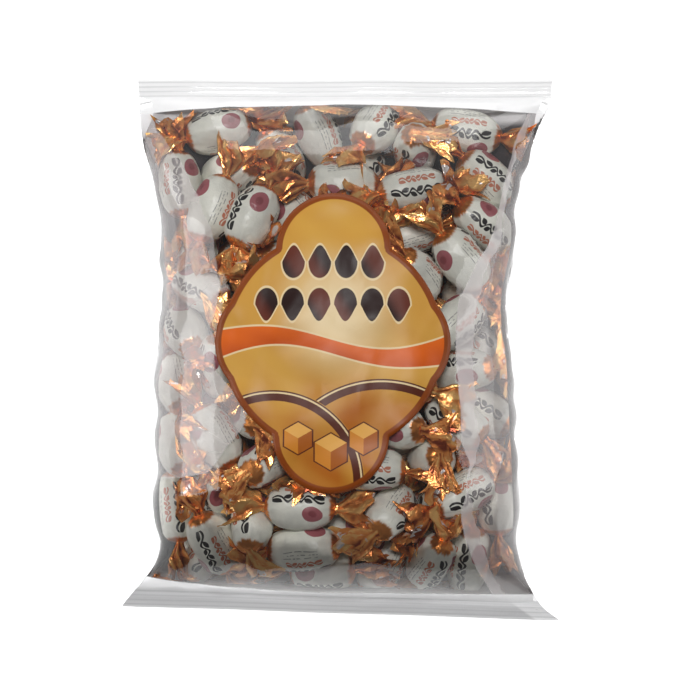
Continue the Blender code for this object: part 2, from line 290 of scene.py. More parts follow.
def settle_candies(wall):
    """Packs the candies into the bag: they push each other apart and stay inside its wall."""
    points = loose_candies(np.random.default_rng(CANDY_SEED))
    radii = np.tile([TWIST_RADIUS, *[BODY_RADIUS] * 3, TWIST_RADIUS], CANDY_COUNT)
    owner = np.repeat(np.arange(CANDY_COUNT), 5)
    stiff = np.tile([TWIST_STIFFNESS, 1.0, 1.0, 1.0, TWIST_STIFFNESS], CANDY_COUNT)
    apart = owner[:, None] != owner[None, :]
    ends = BAG_LENGTH / 2 - SEAL_DEPTH - SEAL_CLEARANCE
    reach = radii[:, None] + radii[None, :]
    give = np.minimum(stiff[:, None], stiff[None, :]) * PUSH_SHARE * apart
    for step in range(PACK_STEPS):
        grown = START_SIZE + (1 - START_SIZE) * min(1.0, step / (FULL_SIZE_AFTER * PACK_STEPS))
        flat = points.reshape(-1, 3)
        gap = flat[:, None, :] - flat[None, :, :]
        distance = np.sqrt((gap**2).sum(axis=-1)) + 1e-9
        overlap = np.clip(reach * grown - distance, 0, None) * give
        push = (gap * (overlap / distance)[..., None]).sum(axis=1)
        length = np.linalg.norm(push, axis=1, keepdims=True)
        flat = flat + push * np.minimum(1, LONGEST_PUSH / np.maximum(length, 1e-9))
        flat[:, 1] = np.clip(flat[:, 1], -ends, ends)
        for index, point in enumerate(flat):
            nearest, normal, _, _ = wall.find_nearest(Vector(point))
            inside = (Vector(point) - nearest).dot(normal) + radii[index] * grown
            if inside > 0:
                flat[index] = np.array(Vector(point) - normal * inside)
        flat[:, 2] = np.maximum(flat[:, 2], radii * grown)
        points = flat.reshape(-1, 5, 3)
        keep_shape(points)
        points = np.round(points, 6)
    return points


candies = settle_candies(wall)
highest = candies[..., 2].max() / MM
print("settled", len(candies), "candies, the highest at", round(highest, 1), "mm")


# %% [markdown]
# ## Tools for modelling
#
# Operators act on whatever is selected, so a helper selects one object alone. Others apply an
# object's modifiers and read or write its mesh's points and attributes.

# %% Selecting and finishing
def select_only(*objects):
    """Selects these objects, with the first one active, and nothing else."""
    for other in bpy.context.scene.objects:
        other.select_set(False)
    for obj in objects:
        obj.select_set(True)
    bpy.context.view_layer.objects.active = objects[0]


def apply_modifiers(obj):
    """Applies every modifier of an object, in order."""
    select_only(obj)
    for modifier in list(obj.modifiers):
        bpy.ops.object.modifier_apply(modifier=modifier.name)


def points_of(obj):
    """The vertices of an object's mesh as rows of numbers, in metres."""
    flat = np.empty(len(obj.data.vertices) * 3)
    obj.data.vertices.foreach_get("co", flat)
    return flat.reshape(-1, 3)


def normals_of(obj):
    """The vertex normals of an object's mesh as rows of numbers."""
    flat = np.empty(len(obj.data.vertices) * 3)
    obj.data.vertices.foreach_get("normal", flat)
    return flat.reshape(-1, 3)


def put_points(obj, points):
    """Moves the vertices of an object's mesh to rows of numbers."""
    obj.data.vertices.foreach_set("co", points.ravel())
    obj.data.update()


def put_attribute(obj, name, values):
    """Writes one number for each vertex, which the materials can read."""
    layer = obj.data.attributes.new(name, "FLOAT", "POINT")
    layer.data.foreach_set("value", np.asarray(values, np.float32))


def fade(low, high, value):
    """0 below low, 1 above high, and a smooth step between."""
    t = np.clip((value - low) / (high - low), 0, 1)
    return t * t * (3 - 2 * t)


# %% [markdown]
# ## The film
#
# The real film is one clear tube, drawn over the candies and gathered into both seals. Its
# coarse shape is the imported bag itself. A copy of that mesh has its loose triangles merged and
# turned back to quads, and Subdivision Surface rounds it. Then folds that are too fine for the
# solid are pushed in along the normals: gathers at the seals and slack creases in between.
#
# Taut film mirrors long unbroken streaks, because between two candies it is stretched almost
# straight. A mesh this coarse cannot show that, so every point also keeps the direction that the
# smooth pillow has there, for the mirror in the film's material. It is worked out as the mean of
# the nearest pillow points before Subdivision Surface, which then fills it in evenly. In the thin
# corners the nearest points lie on both halves of the bag, so those that face the same way as
# the film weigh most.

# %% Direction of the taut film
TAUT_NEIGHBOURS = 8
LEAST_WEIGHT = 0.02


def taut_directions(points, facing):
    """The smooth pillow's outward direction at each point, as rows of numbers."""
    around = np.roll(pillow, -1, axis=1) - np.roll(pillow, 1, axis=1)
    outward = np.cross(np.gradient(pillow, axis=0), around).reshape(-1, 3)
    outward *= np.sign((outward[:, 2] * np.sin(angles).ravel()).sum())
    outward /= np.maximum(np.linalg.norm(outward, axis=1, keepdims=True), 1e-9)
    tree = KDTree(len(outward))
    for index, point in enumerate(pillow.reshape(-1, 3)):
        tree.insert(point, index)
    tree.balance()
    near = [[found[1] for found in tree.find_n(point, TAUT_NEIGHBOURS)] for point in points]
    picked = outward[np.array(near)]
    weight = np.clip((picked * facing[:, None, :]).sum(axis=2), LEAST_WEIGHT, None)
    mean = (picked * weight[..., None]).sum(axis=1)
    return mean / np.maximum(np.linalg.norm(mean, axis=1, keepdims=True), 1e-9)


# %% Film mesh
FLATTEST_FOLD = math.radians(60)

film = frame["nodes"]["bag"].copy()
film.data = frame["nodes"]["bag"].data.copy()
film.name = "bag_film"
film.parent = None
for key in list(film.keys()):
    del film[key]
bpy.context.scene.collection.objects.link(film)
select_only(film)
bpy.ops.object.mode_set(mode="EDIT")
bpy.ops.mesh.select_all(action="SELECT")
bpy.ops.mesh.remove_doubles(threshold=1e-6)
bpy.ops.mesh.tris_convert_to_quads(face_threshold=FLATTEST_FOLD, shape_threshold=FLATTEST_FOLD)
bpy.ops.object.mode_set(mode="OBJECT")
taut = film.data.attributes.new("taut", "FLOAT_VECTOR", "POINT")
directions = taut_directions(points_of(film), normals_of(film))
taut.data.foreach_set("vector", directions.astype(np.float32).ravel())
rounding = film.modifiers.new("Rounding", "SUBSURF")
rounding.levels = 2
rounding.render_levels = 2
apply_modifiers(film)
print("film:", len(film.data.vertices), "points")

# %% Gathers and creases in the film
GATHER_DEPTH = 0.00055
GATHER_REACH = 0.030
GATHER_PITCH = 0.0041
CREASE_DEPTH = 0.00035
CREASE_SIZE = 0.016
CREASE_SHIFT = Vector((7.1, 2.3, 0.4))
FLOOR_CONTACT = 0.0006
SEAL_FADE = 0.008

film_points = points_of(film)
film_normals = normals_of(film)
from_seal = BAG_LENGTH / 2 - SEAL_DEPTH - np.abs(film_points[:, 1])
in_body = fade(0.0, SEAL_FADE, from_seal) * fade(0.0, FLOOR_CONTACT, film_points[:, 2])
gather = np.empty(len(film_points))
crease = np.empty(len(film_points))
for index, (x, y, z) in enumerate(film_points):
    wander = noise.noise(Vector((x * 30, y * 12, z * 30)))
    gather[index] = math.sin(x / GATHER_PITCH + wander * 4.0 + (1.3 if y > 0 else 0.0))
    place = Vector((x, y * 0.6, z)) / CREASE_SIZE
    crease[index] = 0.5 - abs(noise.noise(place + CREASE_SHIFT)) * 3.0
near_seal = np.exp(-np.clip(from_seal, 0, None) / GATHER_REACH)
push = GATHER_DEPTH * gather * near_seal + CREASE_DEPTH * np.clip(crease, -0.5, 0.5)
film_points = film_points + film_normals * (push * in_body)[:, None]
film_points[:, 2] = np.maximum(film_points[:, 2], 0)
put_points(film, film_points)
film.data.shade_smooth()
film_tree = BVHTree.FromPolygons(
    [Vector(point) for point in film_points], [tuple(face.vertices) for face in film.data.polygons]
)
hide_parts("bag")
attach(film, "root")
print("film creased, height", round(film_points[:, 2].max() / MM, 1), "mm")

# %% [markdown]
# ## One candy, by hand
#
# A candy is a rounded body in paper that is pinched at two necks, beyond which the foil flares
# into twisted fans. Both forms are turned shapes, so they start from a circle at one end whose
# rim is extruded and scaled station by station, the way a vase is modelled.


# %% Rim by rim
def turned_shape(name, around, stations):
    """A closed form about the X axis: a circle whose rim is pulled on to each (x, radius)."""
    start, radius = stations[0]
    bpy.ops.mesh.primitive_circle_add(
        vertices=around,
        radius=radius,
        fill_type="NOTHING",
        location=(start, 0, 0),
        rotation=(0, math.pi / 2, 0),
    )
    shape = bpy.context.active_object
    shape.name = name
    select_only(shape)
    bpy.ops.object.transform_apply(location=True, rotation=True, scale=True)
    bpy.ops.object.mode_set(mode="EDIT")
    bpy.ops.mesh.select_all(action="SELECT")
    for place, wide in stations[1:]:
        bpy.ops.mesh.extrude_region_move(TRANSFORM_OT_translate={"value": (place - start, 0, 0)})
        scale = wide / radius
        bpy.ops.transform.resize(value=(1, scale, scale), center_override=(place, 0, 0))
        start, radius = place, wide
    bpy.ops.mesh.select_all(action="SELECT")
    bpy.ops.mesh.fill_holes(sides=around)
    bpy.ops.mesh.normals_make_consistent(inside=False)
    bpy.ops.object.mode_set(mode="OBJECT")
    return shape


# %% The body
BODY_AROUND = 36
BODY_WIDE = 0.0099
BODY_STATIONS = 21
NECK_RADIUS = 0.0022
HALF_BODY = BODY_LENGTH / 2
BODY_BARREL = 2.5
BODY_END_ROUNDING = 0.62


def body_radius(place):
    """Radius of the body's outline: an oval that narrows quickly into the necks."""
    share = min(1.0, abs(place) / HALF_BODY)
    return NECK_RADIUS + (BODY_WIDE - NECK_RADIUS) * (1 - share**BODY_BARREL) ** BODY_END_ROUNDING


station_turns = [math.pi * i / (BODY_STATIONS - 1) for i in range(BODY_STATIONS)]
body_places = [-HALF_BODY * math.cos(turn) for turn in station_turns]
body_model = turned_shape("candy_body", BODY_AROUND, [(x, body_radius(x)) for x in body_places])
print("body:", len(body_model.data.polygons), "faces")

# %% The twist
TWIST_AROUND = 32
TWIST_OUTSIDE = (
    (0.0, 2.3),
    (1.6, 1.9),
    (3.6, 3.1),
    (6.0, 4.8),
    (8.6, 6.2),
    (11.4, 7.3),
    (14.0, 8.1),
    (15.6, 8.3),
)
TWIST_INSIDE = ((14.6, 7.2), (12.0, 5.6), (9.0, 3.9), (6.0, 2.0), (4.6, 0.8))
twist_model = turned_shape(
    "candy_twist", TWIST_AROUND, [(x * MM, r * MM) for x, r in TWIST_OUTSIDE + TWIST_INSIDE]
)
print("twist:", len(twist_model.data.polygons), "faces")

# %% [markdown]
# ## The print's coordinates
#
# The paper's print has to wrap round each body, so the body gets a UV map in millimetres: one
# axis round the body, the other along it. It is written before the copies are made, so all
# copies share it. Corners that cross the seam are carried past it instead of back.

# %% UV map of the body
PRINT_UNIT = 0.01
uv_layer = body_model.data.uv_layers.new(name="wrap")
body_points = points_of(body_model)
around_angle = np.arctan2(body_points[:, 2], body_points[:, 1])
for face in body_model.data.polygons:
    turns = around_angle[list(face.vertices)]
    if turns.max() - turns.min() > math.pi:
        turns = np.where(turns < 0, turns + math.tau, turns)
    for loop, turn in zip(face.loop_indices, turns):
        x = body_points[body_model.data.loops[loop].vertex_index, 0]
        uv_layer.data[loop].uv = (turn * BODY_WIDE / PRINT_UNIT, x / PRINT_UNIT)


# %% [markdown]
# ## Every candy its own
#
# Wrapped candies are never alike: each is a little longer or wider, rolled another way, with
# other creases. Each copy gets its own mesh, bent by a few waves and noise with its own offset.
# Vector noise starts from the clock unless it is given a seed, so it gets one here.

# %% Crumpling
CRUMPLE_SEED = 11
FAR_OFF = 40
noise.seed_set(CRUMPLE_SEED)


def crumple(points, size, offset):
    """Vector noise at each point, as rows of numbers between about -1 and 1."""
    return np.array([noise.noise_vector(Vector(point / size) + offset) for point in points])


# %% One body
PLEATS_AROUND = 11
PLEAT_WIND = 150
PLEAT_DEPTH = 0.070
FLAT_DEPTH = 0.022
BODY_FLATNESS = 0.95
DENT_SIZE, DENT_DEPTH = 0.0090, 0.0009
WRINKLE_SIZE, WRINKLE_DEPTH = 0.0040, 0.0003


def wrapped_body(points, rng):
    """One body: pleats that run out of the necks, flats pressed by the wrapping, small dents."""
    x, y, z = points.T
    turn = np.arctan2(z, y)
    share = np.abs(x) / HALF_BODY
    wound = turn * PLEATS_AROUND + rng.uniform(0, math.tau) + x * PLEAT_WIND
    pleats = fade(0.45, 0.95, share) * np.sin(wound)
    flats = np.cos(turn * rng.integers(3, 6) + rng.uniform(0, math.tau)) * (1 - share**3)
    scale = 1 + PLEAT_DEPTH * pleats + FLAT_DEPTH * flats
    long, wide = rng.uniform(0.95, 1.03), rng.uniform(0.94, 1.01)
    shaped = np.stack([x * long, y * scale * wide, z * scale * wide * BODY_FLATNESS], axis=-1)
    offset = Vector(rng.uniform(-FAR_OFF, FAR_OFF, 3))
    dents = crumple(shaped, DENT_SIZE, offset) * DENT_DEPTH
    return shaped + dents + crumple(shaped, WRINKLE_SIZE, offset) * WRINKLE_DEPTH


# %% One fan of foil
FAN_WAVE = 0.14
FAN_WAVE_AT_RIM = 0.12
RIM_ZIGZAG = 0.0032
CURL = 0.004
FOLD_SIZE, FOLD_DEPTH = 0.0052, 0.0034
CRINKLE_SIZE, CRINKLE_DEPTH = 0.0024, 0.0007


def twisted_end(points, rng):
    """One fan: deep pleats that wind out of the neck, flattened, curled and crumpled."""
    x, y, z = points.T
    radius = np.hypot(y, z)
    turn = np.arctan2(z, y)
    out = x / (TWIST_OUTSIDE[-1][0] * MM)
    count = rng.integers(5, 8)
    phase = rng.uniform(0, math.tau)
    wave = 2 / math.pi * np.arcsin(np.sin(turn * count + phase))
    radius = radius * (1 + (FAN_WAVE + FAN_WAVE_AT_RIM * out) * wave)
    turn = turn + rng.uniform(0.5, 1.1) * (1 - out)
    spread = rng.uniform(0.95, 1.18)
    flat = rng.uniform(0.50, 0.85)
    shaped = np.stack([x, radius * np.cos(turn) * spread, radius * np.sin(turn) * flat], axis=-1)
    shaped[:, 0] += out**2 * RIM_ZIGZAG * wave
    shaped[:, 2] += rng.uniform(-CURL, CURL) * np.clip(out, 0, None) ** 2
    offset = Vector(rng.uniform(-FAR_OFF, FAR_OFF, 3))
    rough = crumple(shaped, FOLD_SIZE, offset) * FOLD_DEPTH
    rough += crumple(shaped, CRINKLE_SIZE, offset) * CRINKLE_DEPTH
    shaped += rough * np.clip(out, 0.08, 1)[:, None]
    return shaped, wave


def turned_frame(along, across):
    """Three unit rows: along, the part of across that is square to it, and their cross product."""
    along = along / np.linalg.norm(along)
    across = across - along * across.dot(along)
    if np.linalg.norm(across) < 1e-6:
        across = np.cross(along, (0.3, 0.5, 0.8))
    across = across / np.linalg.norm(across)
    return np.stack([along, across, np.cross(along, across)])


# %% [markdown]
# ## Nothing through anything
#
# A foil fan is soft: where it meets a neighbour it drapes over it, and where it meets the film
# it is pressed flat. So each fan's points are first pushed out of the other candies' bodies, all
# to the side where most of the fan lies. Then every point that stands past the film is brought
# back just under it.

# %% Draping and pressing
FILM_GAP = 0.00025
DRAPE_RADIUS = 0.0098
ONE_SIDED = 0.8
NEIGHBOUR_REACH = 0.034
SEAL_MARGIN = 0.0045
SIDE_MARGIN = 0.0030
body_starts = candies[:, 1]
body_spans = candies[:, 3] - candies[:, 1]
span_squares = (body_spans**2).sum(axis=1)


def push_off_bodies(points, owner):
    """Moves points that lie inside other candies' bodies out to their surface."""
    middle = points.mean(axis=0)
    near = np.linalg.norm(candies[:, 2] - middle, axis=1) < NEIGHBOUR_REACH
    near[owner] = False
    for index in np.flatnonzero(near):
        start, span = body_starts[index], body_spans[index]
        share = np.clip((points - start) @ span / span_squares[index], 0, 1)
        gap = points - start - share[:, None] * span
        distance = np.linalg.norm(gap, axis=1)
        inside = distance < DRAPE_RADIUS
        if not inside.any():
            continue
        over = gap.mean(axis=0)
        over /= max(np.linalg.norm(over), 1e-6)
        way = gap[inside] + over * DRAPE_RADIUS * ONE_SIDED
        way /= np.maximum(np.linalg.norm(way, axis=1, keepdims=True), 1e-6)
        points[inside] += way * DRAPE_RADIUS - gap[inside]
    return points


def keep_in_bag(points):
    """Keeps points out of both seals and inside the bag's two sides."""
    x, y = points[:, 0], points[:, 1]
    left, right = side_edges(np.clip(BAG_LENGTH / 2 - y, 0, BAG_LENGTH))
    points[:, 0] = np.clip(x, left + SIDE_MARGIN, right - SIDE_MARGIN)
    top = BAG_LENGTH / 2 - SEAL_DEPTH - SEAL_MARGIN
    bottom = BOTTOM_SLANT * (right - points[:, 0]) - top
    points[:, 1] = np.clip(y, bottom, top)
    return points


def press_under_film(points):
    """Brings points that stand past the film back to just under it."""
    points = keep_in_bag(points)
    for index, point in enumerate(points):
        nearest, normal, _, _ = film_tree.find_nearest(Vector(point))
        past = (Vector(point) - nearest).dot(normal) + FILM_GAP
        if past > 0:
            points[index] = np.array(nearest - normal * FILM_GAP)
    return points


# %% Place them all
NECK_PLACE = 0.95
FAN_ROLL = 0.35
FAN_STRAIGHTNESS = 0.003


def copy_of(model, points):
    """A copy of a model with its own mesh, its vertices at the given points."""
    data = model.data.copy()
    data.vertices.foreach_set("co", points.ravel())
    data.update()
    copy = bpy.data.objects.new(model.name, data)
    bpy.context.scene.collection.objects.link(copy)
    return copy


rng = np.random.default_rng(CANDY_SEED + 1)
body_shape = points_of(body_model)
twist_shape = points_of(twist_model)
twist_inner = np.arange(len(twist_shape)) >= TWIST_AROUND * len(TWIST_OUTSIDE)
bodies, twists = [], []
for owner, points in enumerate(candies):
    axis = points[3] - points[1]
    body_frame = turned_frame(axis, rng.normal(0, 1, 3))
    placed = wrapped_body(body_shape, rng) @ body_frame + points[2]
    body = copy_of(body_model, press_under_film(placed))
    put_attribute(body, "tone", np.full(len(placed), rng.uniform(0, 1)))
    bodies.append(body)
    for end, side in ((0, -1), (4, 1)):
        neck = points[2] + body_frame[0] * side * HALF_BODY * NECK_PLACE
        _, skin, _, _ = film_tree.find_nearest(Vector(points[end]))
        flat_way = np.array(skin) + rng.normal(0, FAN_ROLL, 3)
        direction = points[end] - neck + body_frame[0] * side * FAN_STRAIGHTNESS
        wide_way = np.cross(flat_way, direction)
        shaped, wave = twisted_end(twist_shape, rng)
        placed = shaped @ turned_frame(direction, wide_way) + neck
        placed = press_under_film(push_off_bodies(placed, owner))
        twist = copy_of(twist_model, placed)
        # The pleat wave, which the foil's colour turns into painted shade and painted highlight.
        put_attribute(twist, "crease", wave * 0.5 + 0.5)
        put_attribute(twist, "inner", twist_inner)
        put_attribute(twist, "tone", np.full(len(placed), rng.uniform(0, 1)))
        twists.append(twist)
bpy.data.objects.remove(body_model)
bpy.data.objects.remove(twist_model)
print("made", len(bodies), "bodies and", len(twists), "twists")


# %% Join each kind to one piece
def joined(name, parts):
    """One piece of many copies, riding on the bag."""
    select_only(*parts)
    bpy.ops.object.join()
    piece = bpy.context.active_object
    piece.name = name
    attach(piece, "root")
    return piece


candy_bodies = joined("candy_bodies", bodies)
candy_bodies.data.shade_smooth()
candy_twists = joined("candy_twists", twists)
candy_twists.data.shade_flat()
print("faces:", [len(one.data.polygons) for one in (candy_bodies, candy_twists)])

# %% [markdown]
# ## The label
#
# The label is printed on the front: a disc with large lobes at its top and foot and flatter ones
# at its sides. A circle with a fan of spokes is subdivided, its points are moved out to that
# outline, and Shrinkwrap lays it on the film. Solidify gives the skin its thickness. Each point
# also keeps its distance to the edge, so that the printed border has an even width.

# %% Label outline
LABEL_CENTRE = (-0.0018, 0.0004)
LABEL_DISC = 0.0460
LABEL_END_LOBE = (0.0388, 0.0240)
LABEL_SIDE_LOBE = (0.0245, 0.0246)
LABEL_AROUND = 240
LABEL_RINGS = 30
LABEL_LIFT = 0.00035
LABEL_SKIN = 0.00012


def label_reach(angle):
    """Distance from the label's centre to its edge in a direction."""
    reach = LABEL_DISC
    cosine, sine = abs(math.cos(angle)), abs(math.sin(angle))
    for (offset, radius), ahead, beside in (
        (LABEL_END_LOBE, sine, cosine),
        (LABEL_SIDE_LOBE, cosine, sine),
    ):
        if offset * beside < radius:
            lobe = offset * ahead + math.sqrt(radius**2 - (offset * beside) ** 2)
            reach = max(reach, lobe)
    return reach


# %% Label mesh
bpy.ops.mesh.primitive_circle_add(vertices=LABEL_AROUND, radius=1, fill_type="TRIFAN")
label = bpy.context.active_object
label.name = "label_skin"
select_only(label)
bpy.ops.object.mode_set(mode="EDIT")
bpy.ops.mesh.select_mode(type="EDGE")
bpy.ops.mesh.select_all(action="DESELECT")
bpy.ops.object.mode_set(mode="OBJECT")
for edge in label.data.edges:
    ends = [label.data.vertices[index].co.length for index in edge.vertices]
    edge.select = min(ends) < 0.5
bpy.ops.object.mode_set(mode="EDIT")
bpy.ops.mesh.subdivide(number_cuts=LABEL_RINGS - 1)
bpy.ops.object.mode_set(mode="OBJECT")
unit = points_of(label)
share = np.hypot(unit[:, 0], unit[:, 1])
turn = np.arctan2(unit[:, 1], unit[:, 0])
reach = np.array([label_reach(angle) for angle in turn]) * share
flat_label = np.stack([reach * np.cos(turn), reach * np.sin(turn)], axis=-1)
rim_turn = np.linspace(-math.pi, math.pi, 721)
rim_reach = np.array([label_reach(angle) for angle in rim_turn])
rim = np.stack([rim_reach * np.cos(rim_turn), rim_reach * np.sin(rim_turn)], axis=-1)
edge_distance = np.array([np.hypot(*(rim - point).T).min() for point in flat_label])
above_bag = np.full(len(unit), BAG_THICKNESS * 1.5)
put_points(label, np.column_stack([flat_label + np.array(LABEL_CENTRE), above_bag]))
put_attribute(label, "edge_mm", edge_distance / MM)
print("label:", len(unit), "points, up to", round(edge_distance.max() / MM, 1), "mm from its edge")

# %% Lay it on the film
wrap = label.modifiers.new("Laid on the film", "SHRINKWRAP")
wrap.target = film
wrap.wrap_method = "PROJECT"
wrap.use_project_z = True
wrap.use_negative_direction = True
wrap.use_positive_direction = False
wrap.offset = LABEL_LIFT
thick = label.modifiers.new("Thickness", "SOLIDIFY")
thick.thickness = LABEL_SKIN
thick.offset = 1
apply_modifiers(label)
label.data.shade_smooth()
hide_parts("label")
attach(label, "root")
print("label laid, top at", round(points_of(label)[:, 2].max() / MM, 1), "mm")

# %% [markdown]
# ## Shader maths
#
# Patterns are easier to read as sums than as cables. This class wraps one socket. Its operators
# add Math nodes, and its add method puts in any other node, with settings first and then the
# values or links of its sockets.


# %% A socket that can be calculated with
class Wire:
    """One socket of a shader, with operators that add Math nodes to its tree."""

    def __init__(self, tree, socket=None):
        self.tree = tree
        self.socket = socket

    def add(self, kind, settings=(), sockets=(), output=0):
        node = self.tree.nodes.new(kind)
        for name, value in dict(settings).items():
            if name == "stops":
                self.set_stops(node.color_ramp, value)
            else:
                setattr(node, name, value)
        for key, value in dict(sockets).items():
            if isinstance(value, Wire):
                self.tree.links.new(value.socket, node.inputs[key])
            else:
                node.inputs[key].default_value = value
        return Wire(self.tree, node.outputs[output])

    @staticmethod
    def set_stops(ramp, stops):
        while len(ramp.elements) < len(stops):
            ramp.elements.new(0.5)
        for element, (place, colour) in zip(ramp.elements, stops):
            element.position = place
            element.color = (*colour, 1.0)

    def math(self, operation, first, second=0.0, third=0.0):
        sockets = {0: first, 1: second, 2: third}
        return self.add("ShaderNodeMath", {"operation": operation}, sockets)

    def __add__(self, other):
        return self.math("ADD", self, other)

    def __sub__(self, other):
        return self.math("SUBTRACT", self, other)

    def __rsub__(self, other):
        return self.math("SUBTRACT", other, self)

    def __mul__(self, other):
        return self.math("MULTIPLY", self, other)

    def __truediv__(self, other):
        return self.math("DIVIDE", self, other)

    def __pow__(self, other):
        return self.math("POWER", self, other)

    def __abs__(self):
        return self.math("ABSOLUTE", self)

    __radd__ = __add__
    __rmul__ = __mul__

    def other(self, output):
        """Another output of the same node."""
        return Wire(self.tree, self.socket.node.outputs[output])

    def smaller(self, other):
        return self.math("MINIMUM", self, other)

    def larger(self, other):
        return self.math("MAXIMUM", self, other)

    def wave(self):
        return self.math("SINE", self)

    def root(self):
        return self.math("SQRT", self)

    def repeat(self, period):
        return self.math("WRAP", self, period / 2, -period / 2)

    def fade(self, low, high):
        """0 at low and 1 at high, with a smooth step between; low may be the larger."""
        sockets = {"Value": self, "From Min": low, "From Max": high}
        return self.add("ShaderNodeMapRange", {"interpolation_type": "SMOOTHSTEP"}, sockets)

    def course(self, points):
        """The value of the bent line through (place, value) points, values within 100 of 0."""
        first, last = points[0][0], points[-1][0]
        span = last - first
        stops = [((place - first) / span, (value / 200 + 0.5,) * 3) for place, value in points]
        along = (self - first) / span
        ramp = self.add("ShaderNodeValToRGB", {"stops": stops}, {"Fac": along})
        return ramp * 200.0 - 100.0

    def paint(self, under, over):
        """The colour under, covered by the colour over where this mask is 1."""
        settings = {"data_type": "RGBA"}
        under = under if isinstance(under, Wire) else (*under, 1.0)
        over = over if isinstance(over, Wire) else (*over, 1.0)
        return self.add("ShaderNodeMix", settings, {0: self, 6: under, 7: over}, output=2)


def new_material(name, obj):
    """An empty node material on an object. Returns the tree's start wire and its output node."""
    material = bpy.data.materials.new(name)
    material.use_nodes = True
    tree = material.node_tree
    tree.nodes.clear()
    obj.data.materials.clear()
    obj.data.materials.append(material)
    return Wire(tree), tree.nodes.new("ShaderNodeOutputMaterial")


def object_axes(board):
    """Object coordinates in millimetres: the vector and its three parts."""
    place = board.add("ShaderNodeTexCoord", output=3)
    scaled = board.add("ShaderNodeVectorMath", {"operation": "SCALE"}, {0: place, 3: 1 / MM})
    split = board.add("ShaderNodeSeparateXYZ", sockets={0: scaled})
    return scaled, split, split.other(1), split.other(2)


def speckle(board, vector, scale, detail=2.0, distortion=0.0):
    """Noise between 0 and 1 at a scale in cells per unit of the vector."""
    sockets = {"Vector": vector, "Scale": scale, "Detail": detail, "Distortion": distortion}
    return board.add("ShaderNodeTexNoise", sockets=sockets)


# %% [markdown]
# ## Film finish
#
# Clear film shows what is behind it, so its main shader is Transparent. On top lies a thin haze
# and a mirror that grows towards grazing angles by Fresnel. Near both ends two layers are sealed
# and crimped, and there the film is white with a straight edge. Between the candies the photograph
# shows an even dark slate and no floor, so the unseen back half of the film is made opaque and
# painted slate: painted shade that stands in for the shadow deep in the heap. It is pale only in
# the corners that no candy reaches.
#
# Two folds run down the bag, where the film was flat on its roll. Left of the first one the film
# carries a pale painted reflection that veils the candies, with a ragged edge. The second, on the
# right, is a real fold drawn as a milky strip that widens and narrows, and the film right of it is
# a little pale too; their pale colour is painted reflection. Their courses are bent lines through
# a few points of the bag's length.
# Towards the top seal the film grows a little pale all over.

# %% Window and seals
WINDOW_TOP = 104.3
WINDOW_TOP_BOW = 2.8
WINDOW_BOTTOM = -105.6
WINDOW_BOTTOM_RISE = 5.6
WINDOW_HALF = 86.0
BAND_EDGE = 0.25

board, out = new_material("clear_film", film)
vector, x, y, z = object_axes(board)
bow = (x / WINDOW_HALF) ** 2
rise = ((x * -1.0 + 4.0).larger(0.0) / WINDOW_HALF) ** 2
top_band = (y + bow * WINDOW_TOP_BOW).fade(WINDOW_TOP - BAND_EDGE, WINDOW_TOP + BAND_EDGE)
below_window = y - rise * WINDOW_BOTTOM_RISE
bottom_band = below_window.fade(WINDOW_BOTTOM + BAND_EDGE, WINDOW_BOTTOM - BAND_EDGE)
band = top_band.larger(bottom_band)
seal_line = (BAG_LENGTH / 2 - SEAL_DEPTH) / MM
past_bottom = (WINDOW_HALF - x) * BOTTOM_SLANT - y - seal_line
past_seal = (y - seal_line).larger(past_bottom)
crimps = (past_seal * (math.tau * MM / CRIMP_PITCH)).wave() * past_seal.fade(0.0, 0.4)
print("window from", WINDOW_BOTTOM, "to", WINDOW_TOP, "mm")

# %% Front and back of the bag
taut = board.add("ShaderNodeAttribute", {"attribute_name": "taut"}, output=1)
taut_up = board.add("ShaderNodeSeparateXYZ", sockets={0: taut}).other(2)
back = taut_up.fade(0.03, -0.05)
front = (1 - band) * (1 - back)
print("film nodes so far:", len(board.tree.nodes))

# %% Painted reflection on the left and along the fold on the right
VEIL_EDGE = (
    (-59.0, -99.0),
    (-57.0, -68.0),
    (-54.5, -54.3),
    (-48.0, -48.0),
    (-35.5, -38.6),
    (-29.0, -36.9),
    (-18.5, -44.0),
    (-12.0, -50.5),
    (7.0, -53.0),
    (24.0, -49.2),
    (45.0, -53.5),
    (62.0, -59.9),
    (79.0, -69.2),
    (96.0, -83.0),
    (102.0, -90.0),
)
FOLD_LINE = (
    (-106.0, 69.0),
    (-93.0, 61.3),
    (-82.0, 57.5),
    (-71.0, 54.9),
    (-62.0, 54.9),
    (-48.0, 56.6),
    (-23.0, 54.9),
    (-10.0, 53.2),
    (5.0, 52.8),
    (20.0, 54.9),
    (36.0, 61.3),
    (43.0, 65.1),
    (52.0, 67.7),
    (71.0, 71.0),
    (92.0, 76.6),
    (102.0, 81.0),
)
FOLD_HALF = (
    (-106.0, 2.8),
    (-80.0, 3.4),
    (-69.0, 2.4),
    (-62.0, 0.6),
    (-50.0, 0.8),
    (-40.0, 4.2),
    (-10.0, 3.4),
    (20.0, 4.0),
    (45.0, 1.8),
    (60.0, 1.3),
    (102.0, 0.9),
)
RAGGED_SCALE = 0.085
CLOUD_SCALE = 0.035

# Masks of the painted reflection: the veil on the left, the fold and the film right of it.
ragged = speckle(board, vector, RAGGED_SCALE, detail=1.5) - 0.5
from_fold = x - y.course(FOLD_LINE) + ragged * 5.0
fold_reflection = (abs(from_fold) - y.course(FOLD_HALF) + ragged * 3.0).fade(0.3, -0.3) * front
outer_reflection = from_fold.fade(0.0, 3.0) * front
from_veil = y.course(VEIL_EDGE) - x + ragged * 4.0
clouds = speckle(board, vector, CLOUD_SCALE, detail=1.0, distortion=0.8).fade(0.30, 0.62)
veil_reflection = from_veil.fade(-0.3, 0.4) * taut_up.fade(0.30, 0.42) * (clouds * 0.35 + 0.75) * front
print("veil and fold follow", len(VEIL_EDGE), "and", len(FOLD_LINE), "points")
